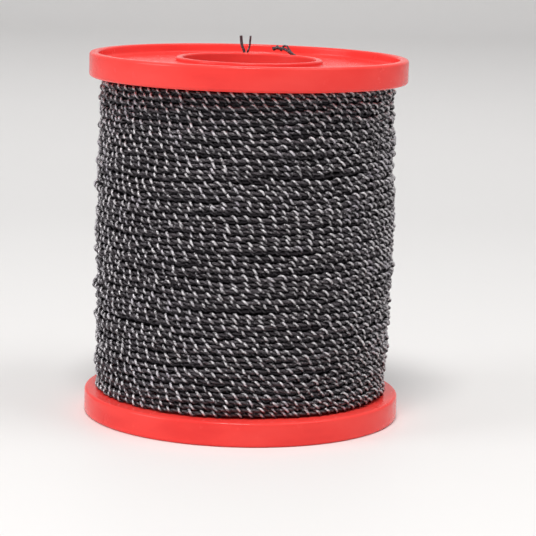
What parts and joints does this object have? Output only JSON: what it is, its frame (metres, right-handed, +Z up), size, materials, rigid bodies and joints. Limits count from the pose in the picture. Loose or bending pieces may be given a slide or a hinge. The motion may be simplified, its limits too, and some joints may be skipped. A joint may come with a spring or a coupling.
{
  "type": "spool of wrapped sealing wire",
  "caption": "Small moulded plastic spool, its hollow barrel wound full between two rimmed flanges with steel sealing wire, a straight core wrapped by one thinner strand.",
  "frame": {"origin": "centre of the foot rim's plane, on the spool's axis", "axes": "+Z up along the spool's axis, -Y towards the front that the picture shows, +X to its right"},
  "size_m": [0.05, 0.05, 0.0593],
  "materials": {
    "spool_plastic": "smooth moulded red plastic with a soft gloss",
    "wire_steel": "dark grey drawn steel wire with a slight sheen"
  },
  "bodies": {
    "root": {"spool": "spool_plastic", "wire": "wire_steel"}
  },
  "joints": []
}
